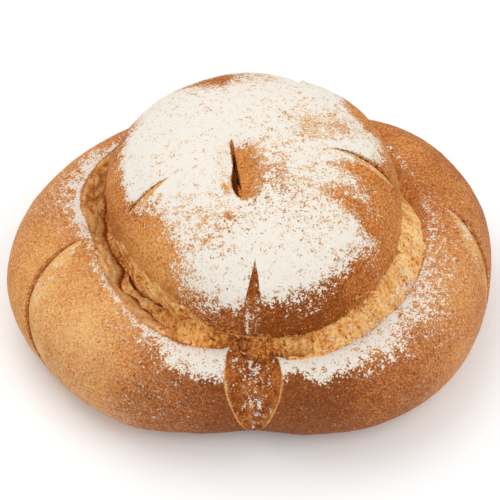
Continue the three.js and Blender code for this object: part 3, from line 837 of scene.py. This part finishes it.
# On the left the knot's foot swells out as a pale, stretched lip over the groove of the join, whose dark
# colour is painted shade: the lip's upper edge by station, and how pale it is.
LIP_EDGE = [
    (0, 0.3), (60, 0.3), (150, 0.35), (180, 0.45), (190, 0.8), (200, 1.1), (212, 1.08), (226, 1.2),
    (238, 1.15), (250, 0.95), (262, 0.8), (290, 0.6), (330, 0.5),
]
LIP_PALENESS = [
    (0, 0.5), (60, 0.3), (150, 0.25), (182, 0.4), (196, 0.55), (203, 0.35), (212, 0.62), (226, 0.7),
    (240, 0.55), (255, 0.35), (290, 0.3), (330, 0.5),
]
KNOT_BROWNING = [
    (0, 0.5), (40, 0.5), (90, 0.6), (130, 0.55), (165, 0.5), (190, 0.48), (210, 0.42), (228, 0.4),
    (243, 0.58), (256, 0.82), (275, 0.92), (298, 0.9), (315, 0.74), (330, 0.58), (345, 0.5),
]
# How far from the knot's centre its flour reaches, and over how wide a zone it thins out.
KNOT_DUST_REACH = [
    (0, 54), (12, 60), (25, 64), (36, 62), (52, 74), (70, 82), (110, 80), (125, 75), (140, 70),
    (155, 67), (172, 64), (185, 61), (192, 58), (200, 54), (212, 52), (224, 54), (236, 60), (244, 63.5),
    (256, 65.8), (270, 65), (290, 65), (305, 64), (320, 64), (335, 62), (348, 57),
]
KNOT_DUST_FADE = [
    (0, 22), (25, 14), (45, 10), (70, 10), (130, 10), (150, 13), (172, 14), (188, 14), (200, 24),
    (215, 24), (230, 24), (245, 20), (256, 14), (270, 10), (290, 12), (305, 16), (320, 20), (340, 24),
]
# Bare or thinly floured places on the knot: x, y, reach along x and y, and how much flour is gone.
KNOT_BARE_PLACES = [
    (-16, 65, 8, 9, 1.1),
    (-30, 62, 10, 4, 0.5),
    (3, 67, 9, 9, 0.45),
    (53, 53, 8, 11, 1.3),
    (28, 21, 7, 6, 0.42),
    (41, 28, 7, 5, 0.55),
    (27, 28, 12, 10, 0.25),
    (52, 4, 12, 5, 1.0),
    (50, -9, 12, 8, 0.35),
    (38, -12, 5, 4, 0.5),
    (46, -18, 6, 3.5, 0.6),
    (54, -24, 6, 3.5, 0.6),
    (9, -3, 12, 15, 0.5),
    (30, -18, 18, 14, 0.3),
    (24, 34, 12, 10, 0.2),
    (-12.2, -11.3, 1.8, 2.2, 1.0),
    (-10.5, -27.7, 3, 2.5, 0.5),
    (-30, -30, 17, 15, 0.36),
    (-16, -30, 9, 7, 0.22),
]
# A film of flour is left round the first dent, beside its middle.
DENT_FILM = 0.95
DENT_FILM_SHIFT = (7, -6)
# The slit's bank on the right, told from the slit's own azimuth, has lost its flour.
SLIT_BARE_TURN = 122.0
# Crumbs lie on the knot's dark front.
CRUMBS_AZIMUTH = 285.0
CRUMBS_SPREAD = 34.0


def knot_ragged(points, angle):
    """How far the knot's torn edge strays from its line, in stations."""
    strays = 0.09 * grain(points, 7.0, 21) + 0.08 * grain(points, 2.6, 22) + 0.04 * grain(points, 1.3, 23)
    return strays * around(KNOT_RAGGEDNESS, angle)


def knot_heap(points):
    """Flour heaped over the crown, thinning out down the flank."""
    x, y = points[..., 0] - KNOT_CENTRE[0], points[..., 1] - KNOT_CENTRE[1]
    about = np.arctan2(y, x)
    edge = around(KNOT_DUST_REACH, about) + 3.0 * grain(points, 10.0, 24)
    heap = 1.1 + 0.14 * grain(points, 6.0, 28)
    past = (np.hypot(x, y) - edge) / around(KNOT_DUST_FADE, about)
    return mix(heap, BARE_FLOUR, ease(-0.5, 0.5, past))


def knot_flour(points):
    """The knot's flour, thinned in its bare places, and the film under it and round the dent."""
    heap = knot_heap(points)
    flour = heap
    x, y = points[..., 0], points[..., 1]
    for place_x, place_y, reach_x, reach_y, gone in KNOT_BARE_PLACES:
        flour = flour - gone * hump(np.hypot((x - place_x) / reach_x, (y - place_y) / reach_y), 1.2)
    flour = np.maximum(flour, BARE_FLOUR)
    dent_x, dent_y, reach, _ = DENTS[0]
    shift_x, shift_y = DENT_FILM_SHIFT
    dent = hump(np.hypot(x - dent_x - shift_x, y - dent_y - shift_y), reach)
    film = FILM_UNDER_FLOUR * ease(0.5, 1.0, heap) * ease(0.1, 0.8, flour + dent)
    return flour, np.maximum(film, DENT_FILM * dent)


def finish_knot_score(score, finish, points, columns, station):
    """A streak of flour down the open leaf, paler slopes, and a line of browning and painted shade under
    each wall.
    """
    within, crevice_shade, _, along = score_inside(score, columns, station, KNOT_SCORE_RADIUS)
    if score["wall"] == 0:
        streak = 0.08 + 0.27 * ease(0.45, 0.75, along) + 0.45 * grain(points * (1.8, 0.3, 0.3), 2.5, 26)
        finish["flour"] = mix(finish["flour"], streak, within)
        finish["browning"] = mix(finish["browning"], 0.78, within)
    elif "dusted" in score:
        finish["flour"] = mix(finish["flour"], score["dusted"], within)
        finish["browning"] = mix(finish["browning"], score["browning"], within)
    finish["film"] = finish["film"] * (1 - within)
    # The crevice under each wall loses its flour and is darkened: browning of the cut edge and painted
    # shade.
    finish["flour"] = finish["flour"] * (1 - crevice_shade)
    finish["browning"] = mix(finish["browning"], 1.0, crevice_shade)


def finish_slit(finish, points, columns, station):
    """No flour inside the slit or on its bare bank, and less of it on the slit's front lip; deeper in the
    slit the crust is painted darker as shade.
    """
    facing = np.cos(columns - math.radians(SLIT_AZIMUTH - SLIT_BARE_TURN))
    bare_bank = ease(0.0, 0.6, facing) * ease(4.5, 4.86, station + 0.08 * grain(points, 3.0, 27))
    within = np.maximum(ease(4.93, 5.0, station), bare_bank)
    forward = -np.cos(columns - math.radians(SLIT_AZIMUTH))
    flour = finish["flour"] - 0.5 * ease(-0.2, 0.5, forward) * ease(4.8, 4.97, station)
    finish["flour"] = mix(flour, BARE_FLOUR, within)
    finish["film"] = finish["film"] * (1 - within)
    # Deeper in the slit the browning rises: painted shade.
    finish["browning"] = mix(finish["browning"], 0.5, within) + 0.15 * ease(5.0, 5.6, station)


def knot_finish(points, columns, angle, station):
    """The knot's finish, where its skin dives under past the torn edge, and where it is rough."""
    ragged = knot_ragged(points, angle)
    dive = ease(-0.02, 0.03, around(KNOT_TEAR_EDGE, angle) + ragged - station)
    lip = ease(-0.12, 0.16, around(LIP_EDGE, angle) + ragged - station)
    crumb = np.maximum(lip * (0.7 + 0.3 * grain(points, 3.0, 34)), dive)
    # The groove at the knot's foot darkens the crumb there: painted shade.
    shaded_groove = 1 - ease(0.16, 0.42, station + 0.1 * grain(points, 4.0, 31))
    pale = around(LIP_PALENESS, angle) + 0.45 * grain(points, 2.8, 32) - 1.1 * shaded_groove
    flour, film = knot_flour(points)
    browning = around(KNOT_BROWNING, angle) + 0.12 * grain(points, 20.0, 25)
    finish = dict(flour=flour, film=film, crumb=crumb, pale=pale, browning=browning)
    for score in KNOT_SCORES:
        finish_knot_score(score, finish, points, columns, station)
    finish_slit(finish, points, columns, station)
    finish["flour"] = mix(finish["flour"], BARE_FLOUR, crumb)
    finish["clumps"] = thin_flour(finish["flour"]) * ease(0.0, 0.4, grain(points, 9.0, 38))
    front = hump(swing(angle, math.radians(CRUMBS_AZIMUTH)), math.radians(CRUMBS_SPREAD))
    finish["crumbs"] = 0.4 * front * ease(0.7, 0.9, station) * (1 - ease(1.3, 2.1, station)) * (1 - dive)
    return finish, dive, lip


points, columns, angle, station = knot_surface()
knot_values, dive, rough = knot_finish(points, columns, angle, station)
freedom = ease(0, 0.1, station) * (1 - 0.8 * ease(4.7, 5.0, station))
knot_points = raise_finish(points, angle, knot_values["flour"], dive, rough, freedom)

knot_skin = closed_skin("loaf_knot", knot_points, knot_values, crust)
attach(knot_skin, "root")
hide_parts("loaf")


# The torn join. As the knot rose in the oven it tore away from the base, and a ring of open crumb
# shows between the two crusts: pale and lumpy on the right, stretched and browner on the left.

RING_COLUMNS = 1180
RING_BANK_ROWS = 42
RING_FLANK_ROWS = 32
RING_THICKNESS = 3.0
RING_TUCK = 0.6
RING_SMOOTHING = 10
# Four rows behind the face close the ring; each stands behind one of these rows.
RING_BACK_ROWS = [-1, -12, 12, 0]
# How far the crumb fills the corner between bank and flank, by azimuth.
RING_FILL = [
    (0, 0.3), (60, 0.1), (120, 0), (165, 0), (200, 0), (230, 0.1), (250, 0.3), (285, 0.55), (302, 0.55),
    (318, 0.15), (334, 0.15), (346, 0.5),
]
RING_FILL_REACH = 10.0
# How deep the crevice in that corner is sunk, and how dark its crumb is painted as shade. On the right
# the crumb has come away from the knot.
RING_CREVICE_DEPTH_AND_SHADE = [
    (0, 0.5), (10, 0.9), (240, 0.9), (256, 0.3), (290, 0.1), (306, 0.4), (320, 1.4), (334, 1.4),
    (348, 0.6),
]
RING_CREVICE_WIDTH = 1.5
SCORE_SOFTENING = 60
# How much of the shelf's flour has fallen onto the crumb's outer edge.
RING_STREWN = [(0, 0.6), (15, 0), (240, 0), (286, 0), (298, 0.7), (330, 0.8)]
# How thick the shreds stand along the knot's torn edge, and how many millimetres a station is there.
RING_SHREDS = [(0, 0.2), (20, 0), (225, 0), (240, 0.15), (262, 0.5), (285, 1), (312, 1), (330, 0.5)]
FLANK_LENGTH = 24.0
SWELL_SHARE = 0.8
CRUMB_HEIGHT = 1.5
CRUST_STEP = 1.0
COVERED_STEP = 2.2


def ring_profile():
    """The crumb's face, from under the base's torn crust, down the bank and up the knot's flank."""
    angle = (np.arange(RING_COLUMNS) / RING_COLUMNS * FULL_TURN)[None]
    base_edge = around(BASE_TEAR_EDGE, angle)
    knot_edge = around(KNOT_TEAR_EDGE, angle)
    bank_station = mix(base_edge - RING_TUCK, 4.0, np.linspace(0, 1, RING_BANK_ROWS)[:, None])
    flank_station = mix(0.15, knot_edge + RING_TUCK, np.linspace(0, 1, RING_FLANK_ROWS)[:, None])
    bank = base_section(angle, bank_station)
    dip = score_depth(BASE_SCORES, angle, bank_station, BASE_SCORE_RADIUS)
    for _ in range(SCORE_SOFTENING):
        dip = (np.roll(dip, 1, 1) + 2 * dip + np.roll(dip, -1, 1)) / 4
    bank[..., 2] -= dip
    flank = np.stack(knot_flank_and_dome(angle, flank_station), -1)
    radial = np.stack([np.cos(angle), np.sin(angle), 0 * angle], -1)
    flank = flank - score_depth(KNOT_SCORES, angle, flank_station, KNOT_SCORE_RADIUS)[..., None] * radial
    points = np.concatenate([bank, flank])
    corner = np.linalg.norm(points - points[RING_BANK_ROWS], axis=-1)
    rim = base_section(angle, 3.0 + 0 * angle)
    side = np.stack(knot_flank_and_dome(angle, 0.55 + 0 * angle), -1)
    lift = (rim + side) / 2 - points[RING_BANK_ROWS]
    points = points + (around(RING_FILL, angle) * hump(corner, RING_FILL_REACH))[..., None] * lift
    for _ in range(RING_SMOOTHING):
        points[1:-1] = (points[:-2] + 2 * points[1:-1] + points[2:]) / 4
    angle = angle + 0 * corner
    past_base = bank_station - base_edge - base_ragged(points[:RING_BANK_ROWS], angle[:RING_BANK_ROWS])
    past_knot = knot_edge - flank_station + knot_ragged(points[RING_BANK_ROWS:], angle[RING_BANK_ROWS:])
    return points, angle, corner, past_base, past_knot


def ring_dusting(points, angle, past_base):
    """Flour that has fallen onto the rows just past the base's torn edge."""
    dusting = np.zeros(angle.shape)
    strewn = around(RING_STREWN, angle[:1]) * (0.9 + 0.5 * grain(points[:RING_BANK_ROWS], 5.0, 33))
    dusting[:RING_BANK_ROWS] = strewn * (1 - ease(0.0, 0.4, past_base))
    return dusting


def with_back(values):
    """Values on the face's rows, carried on to the rows behind it."""
    return np.concatenate([values, values[RING_BACK_ROWS]])


def closed_ring(name, points, finish, material):
    """A mesh that closes on itself both ways round."""
    rows, columns = points.shape[:2]
    numbers = np.arange(rows * columns).reshape(rows, columns)
    faces = faces_between(numbers, np.roll(numbers, -1, 0))
    return mesh_piece(name, points.reshape(-1, 3), faces, finish, material)


points, angle, corner, past_base, past_knot = ring_profile()
opened = np.concatenate([ease(-0.03, 0.1, past_base), ease(-0.03, 0.1, past_knot)])
relief = crumb_relief(points, angle)
shaded_groove = around(RING_CREVICE_DEPTH_AND_SHADE, angle) * hump(corner + 0.8 * grain(points, 3.0, 29), RING_CREVICE_WIDTH)
rise = mix(-COVERED_STEP, CRUMB_HEIGHT * relief - CRUST_STEP, opened) - shaded_groove
outward = grid_normals(points)
face = points + outward * (hand_swells(points) * SWELL_SHARE + rise)[..., None]
back = points[RING_BACK_ROWS] - outward[RING_BACK_ROWS] * (RING_THICKNESS + COVERED_STEP)

# The crumb is painted paler on its lumps and darker in its hollows, painted light and shade on its
# relief, and darker in the crevice as painted shade.
paleness = around(BASE_CRUMB_PALENESS, angle) + 0.45 * relief + 0.25 * grain(points, 9.0, 16) - shaded_groove
ring_pale = with_back(paleness)
ring_flour = BARE_FLOUR + with_back(ring_dusting(points, angle, past_base))
torn_edge = np.concatenate([0 * past_base, hump(past_knot * FLANK_LENGTH - 1.5, 2.5), 0 * past_base[:4]])
shreds = around(RING_SHREDS, with_back(angle)) * torn_edge
none = np.zeros_like(ring_pale)
ring_values = dict(flour=ring_flour, film=none, crumb=none + 1, pale=ring_pale, browning=none)
ring_values["shreds"] = shreds

ring = closed_ring("torn_crumb", np.concatenate([face, back]), ring_values, crust)
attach(ring, "root")
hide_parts("loaf")


# The loose bits. Lumps of flour where the dusting thins out, crumbs on the dark front of the knot,
# and shreds that the dough pulled out as it tore. Each is strewn over a skin by an amount kept on it.

CLUMP_RADIUS = (0.12, 0.38)
CLUMPS_ACROSS = 110000.0
SHRED_LENGTH = (1.5, 4.2)
SHRED_GIRTH = 0.08
SHREDS_ACROSS = 900000.0
STREWING_SEED = 5
STREWING_TILT = 0.9


def strewing_tree(name, sizes):
    """A node tree that takes a mesh and named numbers; returns it with the key of each number."""
    tree = bpy.data.node_groups.new(name, "GeometryNodeTree")
    tree.interface.new_socket("Geometry", in_out="INPUT", socket_type="NodeSocketGeometry")
    tree.interface.new_socket("Geometry", in_out="OUTPUT", socket_type="NodeSocketGeometry")
    keys = {}
    for label, value in sizes.items():
        kind = "NodeSocketInt" if isinstance(value, int) else "NodeSocketFloat"
        keys[label] = tree.interface.new_socket(label, in_out="INPUT", socket_type=kind).identifier
    return tree, keys


def flour_lump(tree):
    """A rough ball, one unit in radius."""
    return add(tree, "GeometryNodeMeshIcoSphere", {"Radius": 1.0, "Subdivisions": 1}).outputs["Mesh"]


def crumb_shred(tree):
    """A thin, three-sided strand that bends once, one unit long."""
    ends = {"Start": (0, 0, -0.1), "Middle": (0.15, 0, 0.6), "End": (0.7, 0.1, 0.8), "Resolution": 4}
    strand = add(tree, "GeometryNodeCurveQuadraticBezier", ends).outputs["Curve"]
    girth = {"Resolution": 3, "Radius": SHRED_GIRTH}
    outline = add(tree, "GeometryNodeCurvePrimitiveCircle", girth).outputs["Curve"]
    shape = {"Curve": strand, "Profile Curve": outline, "Fill Caps": True}
    return add(tree, "GeometryNodeCurveToMesh", shape).outputs["Mesh"]


def lay_shapes(tree, key, shape, material):
    """Nodes that set a small shape at random spots, sizes and turns, and make one mesh of them."""
    given = add(tree, "NodeGroupInput").outputs
    kept = add(tree, "GeometryNodeInputNamedAttribute", {"Name": key}, data_type="FLOAT")
    density = sums(tree, "MULTIPLY", kept.outputs["Attribute"], given["Number per square metre"])
    settings = {"Mesh": given["Geometry"], "Density": density, "Seed": given["Seed"]}
    spots = add(tree, "GeometryNodeDistributePointsOnFaces", settings).outputs
    lengths = {2: given["Least size"], 3: given["Largest size"], "Seed": given["Seed"]}
    size = add(tree, "FunctionNodeRandomValue", lengths, data_type="FLOAT").outputs[1]
    turns = {0: (-STREWING_TILT, -STREWING_TILT, 0.0), 1: (STREWING_TILT, STREWING_TILT, FULL_TURN)}
    turns["Seed"] = given["Seed"]
    turn = add(tree, "FunctionNodeRandomValue", turns, data_type="FLOAT_VECTOR").outputs[0]
    placing = {"Points": spots["Points"], "Instance": shape(tree), "Rotation": turn, "Scale": size}
    placed = add(tree, "GeometryNodeInstanceOnPoints", placing).outputs["Instances"]
    plain = add(tree, "GeometryNodeRealizeInstances", {"Geometry": placed}).outputs["Geometry"]
    painting = {"Geometry": plain, "Material": material}
    finished = add(tree, "GeometryNodeSetMaterial", painting).outputs["Geometry"]
    add(tree, "NodeGroupOutput", {"Geometry": finished})


def strew(name, host, key, shape, material, sizes):
    """Strews small shapes over a host's skin by the amount kept there, as one plain mesh."""
    tree, keys = strewing_tree(name, sizes)
    lay_shapes(tree, key, shape, material)
    grown = bpy.data.objects.new(name, host.data)
    bpy.context.scene.collection.objects.link(grown)
    modifier = grown.modifiers.new(name, "NODES")
    modifier.node_group = tree
    for label, value in sizes.items():
        modifier[keys[label]] = value
    mesh = bpy.data.meshes.new_from_object(grown.evaluated_get(bpy.context.evaluated_depsgraph_get()))
    grown.modifiers.clear()
    grown.data = mesh
    mesh.name = name
    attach(grown, "root")


def plain_material(name, shade, roughness, specular):
    """One shade and one roughness all over."""
    material = bpy.data.materials.new(name)
    material.use_nodes = True
    shader = material.node_tree.nodes["Principled BSDF"]
    shader.inputs["Base Color"].default_value = shade
    shader.inputs["Roughness"].default_value = roughness
    shader.inputs["Specular IOR Level"].default_value = specular
    return material


def strewing_sizes(across, smallest, largest):
    """How many lie on a square metre, and their sizes, given in millimetres."""
    return {
        "Number per square metre": across,
        "Least size": smallest / 1000,
        "Largest size": largest / 1000,
        "Seed": STREWING_SEED,
    }


loose_flour = plain_material("loose flour", FLOUR_SHADE, FLOUR_ROUGHNESS, 0.2)
loose_crumb = plain_material("loose crumb", CRUMB_SHADES[3][1], 0.9, 0.2)
clump_sizes = strewing_sizes(CLUMPS_ACROSS, *CLUMP_RADIUS)
shred_sizes = strewing_sizes(SHREDS_ACROSS, *SHRED_LENGTH)
strew("base_flour_lumps", base_skin, "clumps", flour_lump, loose_flour, clump_sizes)
strew("knot_flour_lumps", knot_skin, "clumps", flour_lump, loose_flour, clump_sizes)
strew("knot_crumbs", knot_skin, "crumbs", flour_lump, loose_crumb, clump_sizes)
strew("crumb_shreds", ring, "shreds", crumb_shred, loose_crumb, shred_sizes)


# The table. A plain, pale board with a dull finish, lying flat; the loaf stands on it. It is not
# part of the loaf, so it only belongs to the stage.

TABLE_HALF = 3.0
TABLE_CORNERS = [(-1, -1), (1, -1), (1, 1), (-1, 1)]
TABLE_SHADE = (0.9, 0.9, 0.9, 1)

board = bpy.data.meshes.new("table")
board.from_pydata([(x * TABLE_HALF, y * TABLE_HALF, 0.0) for x, y in TABLE_CORNERS], [], [(0, 1, 2, 3)])
board.materials.append(plain_material("table", TABLE_SHADE, 0.9, 0.5))
table_top = bpy.data.objects.new("table", board)
bpy.context.scene.collection.objects.link(table_top)


# The daylight. An even, white light all round, a soft window from the back left, high up, and a
# weaker fill from the front right. Places and sizes are metres, and powers watts.

SKY_STRENGTH = 0.83
LIT_POINT = Vector((0, 0, 0.05))
WINDOW = dict(place=(-0.35, 0.35, 1.05), size=0.8, power=4.7)
FILL = dict(place=(0.5, -0.5, 0.9), size=0.9, power=3.3)

world = bpy.data.worlds.new("daylight")
bpy.context.scene.world = world
world.use_nodes = True
world.node_tree.nodes["Background"].inputs["Color"].default_value = (1, 1, 1, 1)
world.node_tree.nodes["Background"].inputs["Strength"].default_value = SKY_STRENGTH


def soft_light(name, place, size, power):
    """A square lamp that shines at the loaf."""
    lamp = bpy.data.lights.new(name, "AREA")
    lamp.size = size
    lamp.energy = power
    holder = bpy.data.objects.new(name, lamp)
    holder.location = place
    holder.rotation_euler = (LIT_POINT - Vector(place)).to_track_quat("-Z", "Y").to_euler()
    bpy.context.scene.collection.objects.link(holder)


soft_light("window", **WINDOW)
soft_light("fill", **FILL)


# The camera. It looks down on the loaf's front from 52 degrees, with a lens that gives the loaf
# the width it has in the picture.

CAMERA_RISE = math.radians(52)
CAMERA_DISTANCE = 0.85
LOAF_ACROSS = 0.235
LOAF_ACROSS_PIXELS = 487
PICTURE_PIXELS = 500
METRES_PER_PIXEL = LOAF_ACROSS / LOAF_ACROSS_PIXELS
SENSOR = 36.0
LOOK_AT = Vector((-0.001, 0.0, 0.044)) + Vector((to_frame[0], to_frame[1], 0))

camera = bpy.data.cameras.new("camera")
camera.sensor_width = SENSOR
camera.lens = CAMERA_DISTANCE / METRES_PER_PIXEL / PICTURE_PIXELS * SENSOR
camera_stand = bpy.data.objects.new("camera", camera)
backward = Vector((0, -math.cos(CAMERA_RISE), math.sin(CAMERA_RISE)))
camera_stand.location = LOOK_AT + CAMERA_DISTANCE * backward
camera_stand.rotation_euler = (QUARTER_TURN - CAMERA_RISE, 0, 0)
bpy.context.scene.collection.objects.link(camera_stand)
bpy.context.scene.camera = camera_stand
bpy.context.scene.view_settings.view_transform = "Standard"
